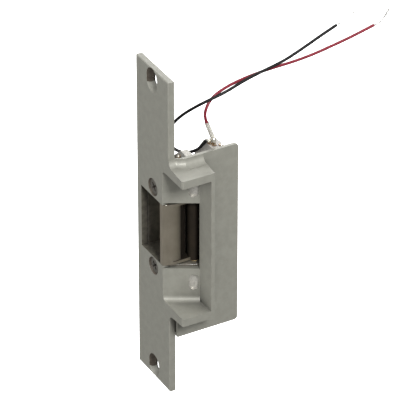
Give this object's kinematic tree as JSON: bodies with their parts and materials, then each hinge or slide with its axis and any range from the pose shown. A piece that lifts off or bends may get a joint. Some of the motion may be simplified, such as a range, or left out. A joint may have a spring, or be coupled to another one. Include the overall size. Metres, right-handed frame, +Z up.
{
  "type": "electric door strike",
  "caption": "Electric strike: cast faceplate with an edge notch and two lips, swinging keeper, lever, pull solenoid and two free leads.",
  "frame": {"origin": "middle of the faceplate's back face, halfway between the two mounting screws", "axes": "+Z up along the faceplate, +Y into the jamb, +X across the faceplate towards the lips"},
  "size_m": [0.0522, 0.144, 0.2119],
  "materials": {
    "satin_grey_casting": "satin grey paint over a zinc casting, slightly orange-peeled",
    "zinc_plate": "bright zinc-plated sheet",
    "plated_screw": "zinc-plated screw steel",
    "frame_steel": "zinc-plated pressed steel",
    "nickel_keeper": "warm nickel-plated steel, brushed along its height",
    "ground_pin": "ground steel pin",
    "brass_washer": "stamped brass",
    "spring_wire": "oiled spring wire",
    "hardened_lever": "hardened steel, dark",
    "plunger_iron": "nickel-plated soft iron",
    "black_nylon": "black moulded nylon",
    "enamel_copper": "enamelled copper winding wire",
    "head_moulding": "grey-pink moulded plastic",
    "eyelet_brass": "dull brass",
    "tinned_brass": "tinned brass",
    "clear_tube": "clear shrink sleeve",
    "tinned_copper": "tinned copper strands",
    "red_pvc": "dark red insulation",
    "black_pvc": "black insulation"
  },
  "bodies": {
    "strike_body": {"cast_body": "satin_grey_casting", "side_cover": "zinc_plate", "cover_screws": "plated_screw", "mechanism_frame": "frame_steel", "frame_screws": "plated_screw", "latch_stop": "frame_steel", "keeper_pin_upper": "ground_pin", "keeper_pin_lower": "ground_pin", "keeper_washers": "brass_washer", "keeper_spring": "spring_wire", "lever_pin": "ground_pin", "lever_spring": "spring_wire", "plunger_spring": "spring_wire", "coil_bobbin": "black_nylon", "coil_winding": "enamel_copper", "coil_yoke": "frame_steel", "coil_stop": "plunger_iron", "coil_screws": "plated_screw", "terminal_block": "head_moulding", "terminal_tags": "tinned_brass", "lead_bracket": "tinned_brass", "bracket_screw": "plated_screw", "eyelets": "eyelet_brass", "clear_sleeve": "clear_tube", "red_core": "tinned_copper", "red_lead": "red_pvc", "red_lead_tip": "tinned_copper", "black_lead": "black_pvc", "black_lead_tip": "tinned_copper"},
    "keeper": {"keeper": "nickel_keeper"},
    "locking_lever": {"locking_lever": "hardened_lever"},
    "plunger": {"plunger": "plunger_iron"}
  },
  "joints": [
    {"name": "keeper_swing", "type": "hinge", "parent": "strike_body", "child": "keeper", "pos_m": [0.011, 0.016, 0], "axis": [0, 0, 1], "range_deg": [0, 62], "stiffness_Nm_per_rad": 0.02, "springref_deg": -28.65, "deforming": ["keeper_spring"]},
    {"name": "locking_lever_swing", "type": "hinge", "parent": "strike_body", "child": "locking_lever", "pos_m": [-0.0022, 0.0263, 0], "axis": [0, 0, 1], "range_deg": [0, 17.3], "stiffness_Nm_per_rad": 0.005, "springref_deg": -22.92, "deforming": ["lever_spring"]},
    {"name": "plunger_slide", "type": "slide", "parent": "strike_body", "child": "plunger", "axis": [0, 0, 1], "range_m": [0, 0.005], "stiffness_N_per_m": 10, "springref_m": -0.02, "deforming": ["plunger_spring"]}
  ],
  "couplings": [
    {"joint": "locking_lever_swing", "follows": "keeper_swing", "ratio": 0.277},
    {"joint": "plunger_slide", "follows": "keeper_swing", "m_per_rad": 0.004619}
  ]
}
